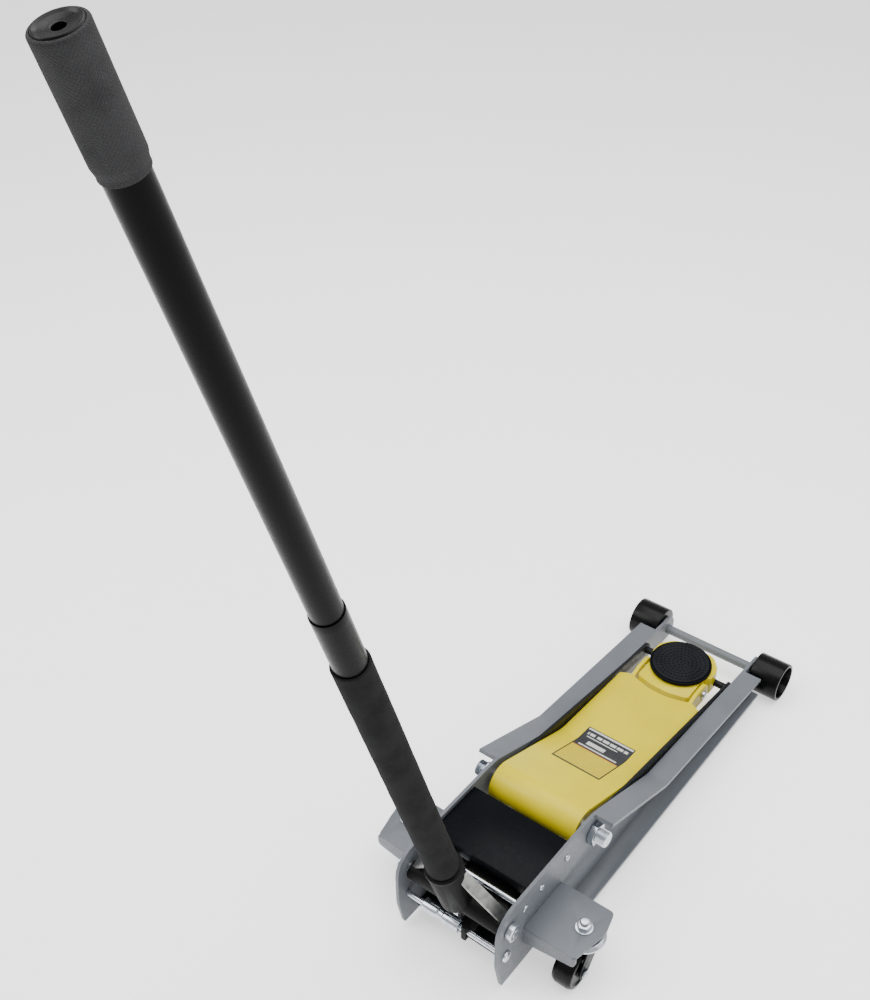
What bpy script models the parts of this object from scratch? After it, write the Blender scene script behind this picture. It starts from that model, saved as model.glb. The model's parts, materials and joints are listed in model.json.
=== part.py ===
"""Low-profile hydraulic trolley jack, as an assembly of separate parts.

Frame: +X towards the lifting end, +Y to the jack's left, +Z up, floor at Z = 0.
Chassis positions below are in millimetres from the lift arm's pivot axis (X) and the floor (Z).
The empty "jack_origin" shifts the chassis so that the whole jack's box is centred on the origin.
"""

import math

import bmesh
import bpy
from mathutils import Matrix, Vector

MM = 0.001
ROUND_STEPS = 24
SMALL_STEPS = 12
GAP = 0.3

# Frame of the jack
PLATE = 5.0
WEB_IN = 81.0
WEB_OUT = WEB_IN + PLATE
FLANGE_OUT = 115.0
FRAME_BOTTOM = 18.0
EAR_BOTTOM = 9.0
EAR_REAR_X = -226.0
FRAME_TOP = 152.0
FLANGE_REAR_X = 5.0
BEND_X, BEND_Z = 165.0, 86.0
FLANGE_FRONT_X, FLANGE_FRONT_Z = 478.0, 57.0

# Axes of the joints, as (X, Z)
ARM_PIVOT = (0.0, 118.0)
YOKE_PIN = (388.0, 58.0)
LINK_OFFSET = (44.0, -8.0)
LINK_FRAME_PIN = (ARM_PIVOT[0] + LINK_OFFSET[0], ARM_PIVOT[1] + LINK_OFFSET[1])
LINK_YOKE_PIN = (YOKE_PIN[0] + LINK_OFFSET[0], YOKE_PIN[1] + LINK_OFFSET[1])
FRONT_AXLE = (517.0, 33.0)
HANDLE_PIVOT = (-199.6, 115.0)
TIE_ROD = (-208.0, 69.0)
CROSS_ROD = (-165.0, 124.0)

# Shaft radii
ARM_SHAFT_R = 12.0
YOKE_PIN_R = 7.0
LINK_PIN_R = 6.0
FRONT_AXLE_R = 8.0
HANDLE_BOLT_R = 8.0
TIE_ROD_R = 4.5
CROSS_ROD_R = 4.0

# Wheels and casters
FRONT_WHEEL_R = 33.0
FRONT_WHEEL_Y = (89.0, 141.0)
CASTER_X, CASTER_Y = -118.0, 151.0
CASTER_TRAIL = 25.0  # the left one stands swivelled forwards, the right one back
CASTER_WHEEL_R = 30.0
CASTER_WHEEL_WIDTH = 32.0
BRACKET_TOP = 85.6

# Lift arm
ARM_OUT = 73.0
ARM_WALL = 5.0
ARM_FRONT_X, ARM_FRONT_Z = 347.0, 70.0
ARM_END_R = 30.0
LUG_Y = (50.0, 56.0)
LUG_R = 17.0
LEVER_Y = (27.0, 35.0)
LEVER_SWING = math.radians(31.0)
LINK_Y = (75.0, 79.0)
LINK_HALF_HEIGHT = 11.0

# Saddle
SADDLE_X = 410.0
YOKE_REAR_X = 343.0
SADDLE_TOP = 83.0
SADDLE_R = 51.0

# Hydraulic unit
RAM_Z = 70.0
RAM_R = 14.0
CYLINDER_R = (20.0, 25.0)
RESERVOIR_R = (34.0, 38.0)
UNIT_REAR_X, UNIT_FRONT_X = -138.0, -50.0
BLOCK_REAR_X = -168.0
CROSSHEAD_PIN_R = 7.0
PLUNGER_R = 7.0
PLUNGER_Z = 99.0
ROLLER_R = 8.0
ROLLER_DROP = 17.0
ROLLER_BACK = math.radians(19)
PLUNGER_REAR_X = HANDLE_PIVOT[0] - ROLLER_DROP * math.sin(ROLLER_BACK) + ROLLER_R + 0.8
COVER_REAR_X, COVER_FRONT_X = -152.0, -55.0
COVER_TOP = 147.0
COVER_HALF = 79.5
COVER_SCREW_X = (-66.0, -128.0)
COVER_SCREW_Z = 128.0

# Handle, as distances along its axis from the socket's pivot
HANDLE_LEAN = math.radians(17.3)
SOCKET_S = (14.0, 102.0)
SOCKET_R = (19.6, 25.0)
FOAM_S = (105.2, 593.8)
LOWER_TUBE_S = (22.0, 685.8)
UPPER_TUBE_S = (615.0, 1299.0)
GRIP_S = (1198.0, 1304.8)
HANDLE_END_S = 1306.3
LOWER_TUBE_R = (17.9, 19.1)
UPPER_TUBE_R = (15.6, 17.6)
FOAM_R = (19.4, 22.2)
GRIP_R = (17.9, 20.7)
BUTTON_S = 640.8
BUTTON_R = 4.0

# The box of the whole jack runs from the handle's end to the front wheels.
HANDLE_END_X = HANDLE_PIVOT[0] - HANDLE_END_S * math.sin(HANDLE_LEAN) - GRIP_R[1] * math.cos(HANDLE_LEAN)
FRONT_END_X = FRONT_AXLE[0] + FRONT_WHEEL_R
ORIGIN_X = (HANDLE_END_X + FRONT_END_X) / 2

COLOURS = {
    "grey_paint": ((0.235, 0.25, 0.275), 0.42, 0.0),
    "yellow_paint": ((0.86, 0.63, 0.035), 0.35, 0.0),
    "black_paint": ((0.012, 0.013, 0.016), 0.35, 0.0),
    "cast_black": ((0.02, 0.02, 0.022), 0.55, 0.0),
    "zinc": ((0.72, 0.74, 0.77), 0.28, 1.0),
    "chrome": ((0.85, 0.86, 0.88), 0.1, 1.0),
    "bare_steel": ((0.42, 0.42, 0.41), 0.45, 1.0),
    "nylon": ((0.015, 0.015, 0.016), 0.4, 0.0),
    "rubber": ((0.02, 0.02, 0.022), 0.8, 0.0),
    "foam": ((0.035, 0.036, 0.038), 0.95, 0.0),
}


def clear_scene():
    for thing in list(bpy.data.objects):
        bpy.data.objects.remove(thing)


def new_collection(name):
    made = bpy.data.collections.new(name)
    bpy.context.scene.collection.children.link(made)
    return made


def make_material(name):
    colour, roughness, metallic = COLOURS[name]
    material = bpy.data.materials.new(name)
    material.use_nodes = True
    shader = material.node_tree.nodes["Principled BSDF"]
    shader.inputs["Base Color"].default_value = (*colour, 1.0)
    shader.inputs["Roughness"].default_value = roughness
    shader.inputs["Metallic"].default_value = metallic
    return material


clear_scene()
JACK = new_collection("trolley_jack")
CUTTERS = new_collection("cutters")
MATERIALS = {name: make_material(name) for name in COLOURS}

ORIGIN = bpy.data.objects.new("jack_origin", None)
ORIGIN.location = (-ORIGIN_X * MM, 0, 0)
JACK.objects.link(ORIGIN)

HANDLE_AXIS = bpy.data.objects.new("handle_axis", None)
HANDLE_AXIS.location = (HANDLE_PIVOT[0] * MM, 0, HANDLE_PIVOT[1] * MM)
HANDLE_AXIS.rotation_euler = (0, -HANDLE_LEAN, 0)
HANDLE_AXIS.parent = ORIGIN
JACK.objects.link(HANDLE_AXIS)

# Turns local Z, the axis of a turned or drawn shape, to point along X or Y.
FACING = {
    "X": (0, math.radians(90), 0),
    "Y": (math.radians(-90), 0, 0),
    "Z": (0, 0, 0),
}


def place(obj, material, at=(0, 0, 0), facing="Z", parent=None):
    """Puts a part, in millimetres from its parent, in the jack's collection."""
    obj.location = Vector(at) * MM
    obj.rotation_euler = FACING[facing]
    obj.parent = parent or ORIGIN
    obj.data.materials.clear()
    obj.data.materials.append(MATERIALS[material])
    JACK.objects.link(obj)
    return obj


def helper(obj):
    """Marks a shape that only cuts or joins another, and isn't a part."""
    JACK.objects.unlink(obj)
    CUTTERS.objects.link(obj)
    obj.hide_render = True
    obj.display_type = "WIRE"
    return obj


def combine(obj, operation, helpers):
    for other in helpers:
        step = obj.modifiers.new(operation.lower(), "BOOLEAN")
        step.operation = operation
        step.solver = "EXACT"
        step.object = helper(other)
    return obj


def cut(obj, *cutters):
    return combine(obj, "DIFFERENCE", cutters)


def join(obj, *others):
    return combine(obj, "UNION", others)


def turned(name, profile, material, at=(0, 0, 0), facing="Z", steps=ROUND_STEPS, parent=None):
    """A turned part. The profile is (radius, height) pairs, clockwise with the axis on the left."""
    closed = profile[0][0] > 0
    mesh = bpy.data.meshes.new(name)
    points = [(radius * MM, 0, height * MM) for radius, height in profile]
    edges = [(i, i + 1) for i in range(len(points) - 1)]
    if closed:
        edges.append((len(points) - 1, 0))
    mesh.from_pydata(points, edges, [])
    obj = bpy.data.objects.new(name, mesh)
    spin = obj.modifiers.new("turn", "SCREW")
    spin.axis = "Z"
    spin.steps = steps
    spin.render_steps = steps
    spin.use_merge_vertices = True
    spin.merge_threshold = 0.00005
    spin.use_smooth_shade = steps > 6
    return place(obj, material, at, facing, parent)


def rod(
    name, radius, low, high, material, at=(0, 0, 0), facing="Z", steps=ROUND_STEPS, bevel=0.0, parent=None,
):
    """A round bar from low to high along its axis, with its ends bevelled."""
    profile = [(0, high), (radius - bevel, high), (radius, high - bevel)]
    profile += [(radius, low + bevel), (radius - bevel, low), (0, low)]
    if not bevel:
        profile = [(0, high), (radius, high), (radius, low), (0, low)]
    return turned(name, profile, material, at, facing, steps, parent)


def ring(name, radii, low, high, material, at=(0, 0, 0), facing="Z", steps=ROUND_STEPS, parent=None):
    inner, outer = radii
    profile = [(inner, high), (outer, high), (outer, low), (inner, low)]
    return turned(name, profile, material, at, facing, steps, parent)


def nut(name, radius, bore, low, high, at, facing="Z"):
    """A hexagonal nut round a bar."""
    body = rod(name, radius, low, high, "zinc", at, facing, 6)
    return cut(body, rod(f"{name}_bore", bore, low - 3, high + 3, "zinc", at, facing))


def block(name, low, high, material, bevel=0.0, parent=None):
    """A box between two corners."""
    mesh = bpy.data.meshes.new(name)
    shape = bmesh.new()
    bmesh.ops.create_cube(shape, size=1.0)
    size = [(h - l) * MM for l, h in zip(low, high)]
    middle = [(h + l) / 2 * MM for l, h in zip(low, high)]
    shape.transform(Matrix.Translation(middle) @ Matrix.Diagonal((*size, 1.0)))
    shape.to_mesh(mesh)
    shape.free()
    obj = bpy.data.objects.new(name, mesh)
    if bevel:
        edge = obj.modifiers.new("edges", "BEVEL")
        edge.width = bevel * MM
        edge.segments = 2
    return place(obj, material, parent=parent)


def with_arcs(corners, steps=5):
    """Outline points from (x, z, radius) corners, each radius above 0 as an arc."""
    points = []
    count = len(corners)
    for i, corner in enumerate(corners):
        here = Vector(corner[:2])
        radius = corner[2] if len(corner) > 2 else 0.0
        if not radius:
            points.append(tuple(here))
            continue
        before = (Vector(corners[i - 1][:2]) - here).normalized()
        after = (Vector(corners[(i + 1) % count][:2]) - here).normalized()
        half = before.angle(after) / 2
        middle = here + (before + after).normalized() * (radius / math.sin(half))
        start = here + before * (radius / math.tan(half)) - middle
        end = here + after * (radius / math.tan(half)) - middle
        turn = start.angle_signed(end)
        for k in range(steps + 1):
            points.append(tuple(middle + Matrix.Rotation(-turn * k / steps, 2) @ start))
    return points


def flat(name, corners, low, high, material, plane="XZ", parent=None):
    """A flat plate: an outline in the XZ plane (thickness along Y) or in the XY plane (along Z)."""
    curve = bpy.data.curves.new(name, "CURVE")
    curve.dimensions = "2D"
    curve.fill_mode = "BOTH"
    curve.extrude = (high - low) / 2 * MM
    outline = with_arcs(corners)
    spline = curve.splines.new("POLY")
    spline.points.add(len(outline) - 1)
    for point, (u, v) in zip(spline.points, outline):
        point.co = (u * MM, v * MM, 0, 1)
    spline.use_cyclic_u = True
    drawn = bpy.data.objects.new(name + "_outline", curve)
    bpy.context.scene.collection.objects.link(drawn)
    bpy.context.view_layer.update()
    graph = bpy.context.evaluated_depsgraph_get()
    mesh = bpy.data.meshes.new_from_object(drawn.evaluated_get(graph))
    bpy.data.objects.remove(drawn)
    shape = bmesh.new()
    shape.from_mesh(mesh)
    bmesh.ops.remove_doubles(shape, verts=shape.verts, dist=0.00001)
    if plane == "XZ":
        shape.transform(Matrix.Rotation(math.radians(90), 4, "X"))
        shape.transform(Matrix.Translation((0, (low + high) / 2 * MM, 0)))
    else:
        shape.transform(Matrix.Translation((0, 0, (low + high) / 2 * MM)))
    bmesh.ops.recalc_face_normals(shape, faces=shape.faces)
    shape.to_mesh(mesh)
    shape.free()
    mesh.name = name
    obj = bpy.data.objects.new(name, mesh)
    return place(obj, material, parent=parent)


def hole(name, radius, axis, low, high, facing="Y"):
    """A round cutter along Y at an (X, Z) axis."""
    return rod(name, radius, low, high, "zinc", (axis[0], 0, axis[1]), facing)


def mirrored(side, low, high):
    """A span of Y on one side, side being +1 or -1."""
    return (low, high) if side > 0 else (-high, -low)


SIDES = (("left", 1), ("right", -1))


def side_plates():
    """The two pressed side plates: an upright web with flanges turned outwards."""
    web = [
        (FRONT_AXLE[0] + 20, 13, 18), (FRONT_AXLE[0] + 20, 53, 18), (FLANGE_FRONT_X, FLANGE_FRONT_Z),
        (BEND_X, BEND_Z, 40), (FLANGE_REAR_X, 150, 30), (-20, FRAME_TOP), (EAR_REAR_X, FRAME_TOP, 36),
        (EAR_REAR_X, 60, 60), (-215, EAR_BOTTOM, 4), (-143, EAR_BOTTOM, 8), (-125, FRAME_BOTTOM, 8),
        (FLANGE_FRONT_X, FRAME_BOTTOM), (FRONT_AXLE[0] - 20, 13, 4),
    ]
    top_flange = [
        (FLANGE_FRONT_X, FLANGE_FRONT_Z), (BEND_X, BEND_Z, 40), (FLANGE_REAR_X, 150),
        (FLANGE_REAR_X - 2, 144.8), (BEND_X - 1.5, BEND_Z - PLATE, 40),
        (FLANGE_FRONT_X, FLANGE_FRONT_Z - PLATE),
    ]
    for word, side in SIDES:
        plate = flat(f"side_plate_{word}", web, *mirrored(side, WEB_IN, WEB_OUT), "grey_paint")
        span = mirrored(side, WEB_OUT - 2, FLANGE_OUT)
        top = flat(f"top_flange_{word}", top_flange, *span, "grey_paint")
        low = (-70, span[0], FRAME_BOTTOM + 0.01)
        high = (FLANGE_FRONT_X - 0.5, span[1], FRAME_BOTTOM + PLATE)
        bottom = block(f"bottom_flange_{word}", low, high, "grey_paint")
        join(plate, top, bottom)
        through = mirrored(side, WEB_IN - 5, WEB_OUT + 5)
        holes = (
            ("axle", FRONT_AXLE_R, FRONT_AXLE), ("arm", ARM_SHAFT_R, ARM_PIVOT),
            ("link", LINK_PIN_R, LINK_FRAME_PIN), ("handle", HANDLE_BOLT_R, HANDLE_PIVOT),
            ("tie", TIE_ROD_R, TIE_ROD), ("cross", CROSS_ROD_R, CROSS_ROD),
        )
        cutters = [hole(f"{use}_hole_{word}", radius + GAP, axis, *through) for use, radius, axis in holes]
        for n, x in enumerate(COVER_SCREW_X):
            cutters.append(hole(f"screw_hole_{word}_{n}", 2.5 + GAP, (x, COVER_SCREW_Z), *through))
        cut(plate, *cutters)


def front_end():
    """The front axle, a straight bar through both plates, with an open-ended roller on each end."""
    at = (FRONT_AXLE[0], 0, FRONT_AXLE[1])
    rod("front_axle", FRONT_AXLE_R, -116, 116, "grey_paint", at, "Y", bevel=1)
    inner, outer = FRONT_WHEEL_Y
    bore = FRONT_AXLE_R + GAP
    for word, side in SIDES:
        profile = [
            (bore, inner), (bore, 112), (15, 112), (15, outer - 26), (25, outer - 24), (28, outer),
            (FRONT_WHEEL_R - 1.5, outer), (FRONT_WHEEL_R, outer - 1.5),
            (FRONT_WHEEL_R, inner + 1.5), (FRONT_WHEEL_R - 1.5, inner),
        ]
        profile = [(radius, side * y) for radius, y in profile]
        turned(f"front_wheel_{word}", oriented(profile), "nylon", at, "Y", 32)
        span = mirrored(side, 112 + GAP, 114.5)
        ring(f"axle_clip_{word}", (FRONT_AXLE_R + GAP, 12.5), *span, "zinc", at, "Y", SMALL_STEPS)


def oriented(profile):
    """The closed profile in the order that makes a turned shape's faces point out."""
    area = sum(
        a[0] * b[1] - b[0] * a[1] for a, b in zip(profile, profile[1:] + profile[:1])
    )
    return profile if area < 0 else profile[::-1]


def casters():
    """A welded bracket on each side with a swivel caster bolted through it."""
    plate_low = BRACKET_TOP - PLATE
    outline = [
        (-75, WEB_OUT + GAP), (-74, 171, 6), (-108, 179, 30), (-167, 167, 8), (-167, WEB_OUT + GAP),
    ]
    skirt = [(WEB_OUT + GAP, 52), (WEB_OUT + GAP, plate_low + 2), (168, plate_low + 2), (168, 66, 8)]
    axle_z = CASTER_WHEEL_R
    half = CASTER_WHEEL_WIDTH / 2
    for word, side in SIDES:
        y = side * CASTER_Y
        axle_x = CASTER_X + side * CASTER_TRAIL
        corners = [(x, side * v, *rest) for x, v, *rest in outline]
        bracket = flat(f"caster_bracket_{word}", corners, plate_low, BRACKET_TOP, "grey_paint", "XY")
        for where, x in (("front", -80.0), ("rear", -166.9)):
            shape = [(side * v, z, *rest) for v, z, *rest in skirt]
            panel = flat(f"{where}_skirt_{word}", shape, 0, PLATE - 0.2, "grey_paint", "XY")
            stand = Matrix.Rotation(math.radians(90), 4, "Z") @ Matrix.Rotation(math.radians(90), 4, "X")
            panel.data.transform(Matrix.Translation((x * MM, 0, 0)) @ stand)
            join(bracket, panel)
        cut(bracket, rod(f"stem_hole_{word}", 6 + GAP, 70, 95, "zinc", (CASTER_X, y, 0)))
        crown = [
            (0, 99), (5, 99), (6, 98), (6, 80), (12, 80), (12, 77), (27, 77), (31, 73.5), (31, 71), (0, 71),
        ]
        fork = turned(f"caster_fork_{word}", crown, "black_paint", (CASTER_X, y, 0))
        for leg, offset in (("inner", -half - 2.5), ("outer", half + 2.5)):
            outline_leg = [
                (-17, 73), (-14, 61), (CASTER_TRAIL - 11, axle_z - 5, 9), (CASTER_TRAIL + 9, axle_z - 10, 8),
                (CASTER_TRAIL + 11, axle_z + 6), (17, 73),
            ]
            outline_leg = [(CASTER_X + side * u, *rest) for u, *rest in outline_leg]
            span = sorted((y + offset - 1.25, y + offset + 1.25))
            join(fork, flat(f"{leg}_leg_{word}", outline_leg, *span, "zinc"))
        cut(fork, rod(f"axle_hole_{word}", 4 + GAP, y - 30, y + 30, "zinc", (axle_x, 0, axle_z), "Y"))

        ring_at = (axle_x, 0, axle_z)
        profile = [
            (4 + GAP, y + half), (CASTER_WHEEL_R - 8, y + half), (CASTER_WHEEL_R - 7, y + half - 1),
            (CASTER_WHEEL_R - 4, y + half - 1), (CASTER_WHEEL_R, y + half - 7),
            (CASTER_WHEEL_R, y - half + 7), (CASTER_WHEEL_R - 4, y - half + 1),
            (CASTER_WHEEL_R - 7, y - half + 1), (CASTER_WHEEL_R - 8, y - half), (4 + GAP, y - half),
        ]
        turned(f"caster_wheel_{word}", oriented(profile), "nylon", ring_at, "Y", 28)
        head, end = half + 4.1, half + 8.5
        profile = [(0, end), (4, end), (4, -head), (7.5, -head), (7.5, -end), (0, -end)]
        profile = [(radius, y - side * h) for radius, h in profile]
        profile = profile if side < 0 else profile[::-1]
        turned(f"caster_axle_{word}", profile, "zinc", ring_at, "Y", SMALL_STEPS)
        nut(f"caster_nut_{word}", 11, 6 + GAP, BRACKET_TOP + GAP, BRACKET_TOP + 9, (CASTER_X, y, 0))


def cross_members():
    """What ties the two plates together at the rear."""
    at = (TIE_ROD[0], 0, TIE_ROD[1])
    seat = WEB_OUT + GAP
    head = [(0, WEB_OUT + 5), (6, WEB_OUT + 5), (8.5, WEB_OUT + 3), (8.5, seat), (TIE_ROD_R, seat)]
    tail = [(radius, -y) for radius, y in head[::-1]]
    turned("rear_tie_rod", head + tail, "zinc", at, "Y", SMALL_STEPS)
    at = (CROSS_ROD[0], 0, CROSS_ROD[1])
    head = [(0, WEB_OUT + 3), (3.6, WEB_OUT + 3), (5.4, WEB_OUT + 1.6), (5.4, seat), (CROSS_ROD_R, seat)]
    tail = [(radius, -y) for radius, y in head[::-1]]
    turned("rear_cross_rod", head + tail, "zinc", at, "Y", SMALL_STEPS)
    block("unit_base_plate", (-188, -WEB_IN + 0.5, 20), (-42, WEB_IN - 0.5, 26), "black_paint")


def arm_shaft():
    at = (ARM_PIVOT[0], 0, ARM_PIVOT[1])
    rod("arm_pivot_shaft", ARM_SHAFT_R, -112, 112, "zinc", at, "Y", bevel=2)
    for word, side in SIDES:
        span = mirrored(side, WEB_OUT + GAP, WEB_OUT + 11)
        nut(f"pivot_nut_{word}", 18, ARM_SHAFT_R + GAP, *span, at, "Y")


def arm_top(offset=0.0):
    """Points along the lift arm's top plate, front to rear, as far below its surface as offset."""
    return [
        (ARM_FRONT_X, ARM_FRONT_Z - offset), (BEND_X, 84 - offset, 60),
        (ARM_PIVOT[0] + 8, ARM_PIVOT[1] + ARM_END_R - 1 - offset, 12),
    ]


def rear_round(radius, start, end, steps=9):
    """Points round the arm's rear end, from start to end degrees, 90 being straight up."""
    return [
        (
            ARM_PIVOT[0] + radius * math.cos(math.radians(start + (end - start) * k / steps)),
            ARM_PIVOT[1] + radius * math.sin(math.radians(start + (end - start) * k / steps)),
        )
        for k in range(steps + 1)
    ]


def lift_arm():
    """The pressed arm: a bent top plate, two walls, a pivot tube, lever ears and front lugs."""
    top = arm_top() + rear_round(ARM_END_R, 95, 232, 12) + rear_round(ARM_END_R - 4, 232, 95, 12)
    top += arm_top(4.0)[::-1]
    arm = flat("lift_arm", top, -ARM_OUT, ARM_OUT, "yellow_paint")
    wall = arm_top(0.5)[1:] + rear_round(ARM_END_R - 0.4, 95, 262)
    wall += [(BEND_X, 50, 60), (ARM_FRONT_X - 14, 46, 8), (ARM_FRONT_X - 14, ARM_FRONT_Z - 1)]
    lug = [
        (300, 71), (ARM_FRONT_X - 3, 68), (YOKE_PIN[0] - 22, 75, 12),
        (YOKE_PIN[0] + LUG_R, YOKE_PIN[1] + LUG_R, LUG_R - 0.5),
        (YOKE_PIN[0] + LUG_R, YOKE_PIN[1] - LUG_R, LUG_R - 0.5), (300, 44),
    ]
    slot_half = CROSSHEAD_PIN_R + 1.4
    lever = [(-15, 0), (15, 0), (slot_half + 7, -62, 4), (-slot_half - 7, -62, 4)]
    slot = [(-slot_half, -36, 4), (slot_half, -36, 4), (slot_half, -70), (-slot_half, -70)]
    pieces = []
    for word, side in SIDES:
        span = mirrored(side, ARM_OUT - ARM_WALL, ARM_OUT - 0.1)
        pieces.append(flat(f"arm_wall_{word}", wall, *span, "yellow_paint"))
        pieces.append(flat(f"arm_lug_{word}", lug, *mirrored(side, *LUG_Y), "yellow_paint"))
        span = mirrored(side, LUG_Y[0] + 1, ARM_OUT - 1)
        web = block(
            f"lug_web_{word}",
            (306, span[0], 50), (312, span[1], 70.5), "yellow_paint",
        )
        pieces.append(web)
        ear = flat(f"lever_{word}", lever, *mirrored(side, *LEVER_Y), "yellow_paint")
        span = mirrored(side, LEVER_Y[0] - 3, LEVER_Y[1] + 3)
        gap = flat(f"lever_slot_{word}", slot, *span, "yellow_paint")
        swing = Matrix.Translation((ARM_PIVOT[0] * MM, 0, ARM_PIVOT[1] * MM))
        swing = swing @ Matrix.Rotation(LEVER_SWING, 4, "Y")
        ear.data.transform(swing)
        gap.data.transform(swing)
        pieces.append(cut(ear, gap))
    at = (ARM_PIVOT[0], 0, ARM_PIVOT[1])
    pieces.append(rod("arm_tube", 19, -ARM_OUT + 1, ARM_OUT - 1, "yellow_paint", at, "Y"))
    join(arm, *pieces)
    front = ARM_FRONT_X
    notch = [
        (front + 5, -49.5), (front - 2, -48.5, 5), (front - 12, -16, 60), (front - 12, 16, 60),
        (front - 2, 48.5, 5), (front + 5, 49.5),
    ]
    corner = [(front - 9, ARM_OUT + 2), (front + 1, 58), (front + 1, ARM_OUT + 2)]
    corners = [
        flat(f"corner_{word}", [(x, side * y) for x, y in corner], 60, 90, "zinc", "XY")
        for word, side in SIDES
    ]
    cut(
        arm, flat("yoke_notch", notch, 60, 90, "zinc", "XY"), *corners,
        hole("arm_bore", ARM_SHAFT_R + GAP, ARM_PIVOT, -90, 90),
        hole("lug_bore", YOKE_PIN_R + GAP, YOKE_PIN, -90, 90),
    )
    at = (YOKE_PIN[0], 0, YOKE_PIN[1])
    rod("yoke_pin", YOKE_PIN_R, -60, 60, "zinc", at, "Y", SMALL_STEPS, 0.8)


def saddle():
    """The yoke that stays level on the arm's end, and the saddle that turns in it."""
    outline = [
        (YOKE_REAR_X + 8, -46, 6), (YOKE_REAR_X, -16, 60), (YOKE_REAR_X, 16, 60), (YOKE_REAR_X + 8, 46, 6),
        (408, 46), (412, 55, 6), (438, 55, 24), (462, 34, 24), (462, -34, 24), (438, -55, 24), (412, -55, 6),
        (408, -46),
    ]
    yoke = flat("saddle_yoke", outline, 40, 73, "yellow_paint", "XY")
    cut(
        yoke,
        hole("yoke_bore", YOKE_PIN_R + GAP, YOKE_PIN, -60, 60),
        hole("yoke_link_bore", LINK_PIN_R + GAP, LINK_YOKE_PIN, -60, 60),
        rod("saddle_bore", 9 + GAP, 46, 80, "zinc", (SADDLE_X, 0, 0)),
    )
    at = (LINK_YOKE_PIN[0], 0, LINK_YOKE_PIN[1])
    rod("link_pin", LINK_PIN_R, -LINK_Y[1] - 1.2, LINK_Y[1] + 1.2, "zinc", at, "Y", SMALL_STEPS)
    cup = [
        (0, 76), (47, 76), (47, 81), (SADDLE_R - 1.5, 81), (SADDLE_R, 79.5),
        (SADDLE_R, 76.5), (SADDLE_R - 3.5, 73.5), (9, 73.5), (9, 60), (0, 60),
    ]
    turned("saddle_cup", cup, "black_paint", (SADDLE_X, 0, 0), steps=36)
    rod("saddle_pad", 46.6, 76.3, SADDLE_TOP, "rubber", (SADDLE_X, 0, 0), steps=36, bevel=1)


def radius_rods():
    """The two rods that keep the yoke level, parallel to the arm."""
    rear, front = Vector(LINK_FRAME_PIN), Vector(LINK_YOKE_PIN)
    along = (front - rear).normalized()
    across = Vector((-along.y, along.x)) * LINK_HALF_HEIGHT
    ahead = along * LINK_HALF_HEIGHT
    corners = [rear - ahead + across, front + ahead + across, front + ahead - across, rear - ahead - across]
    outline = [(*corner, LINK_HALF_HEIGHT - 0.5) for corner in corners]
    for word, side in SIDES:
        bar = flat(f"radius_rod_{word}", outline, *mirrored(side, *LINK_Y), "black_paint")
        span = mirrored(side, LINK_Y[0] - 4, LINK_Y[1] + 4)
        cut(
            bar,
            hole(f"rod_rear_bore_{word}", LINK_PIN_R + GAP, LINK_FRAME_PIN, *span),
            hole(f"rod_front_bore_{word}", LINK_PIN_R + GAP, LINK_YOKE_PIN, *span),
        )
        at = (LINK_FRAME_PIN[0], 0, LINK_FRAME_PIN[1])
        seat = WEB_OUT + GAP
        bolt = [(0, 93), (10, 93), (10, seat), (LINK_PIN_R, seat), (LINK_PIN_R, 74), (0, 74)]
        if side < 0:
            bolt = [(radius, -y) for radius, y in bolt][::-1]
        turned(f"radius_rod_bolt_{word}", bolt, "zinc", at, "Y", SMALL_STEPS)


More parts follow.
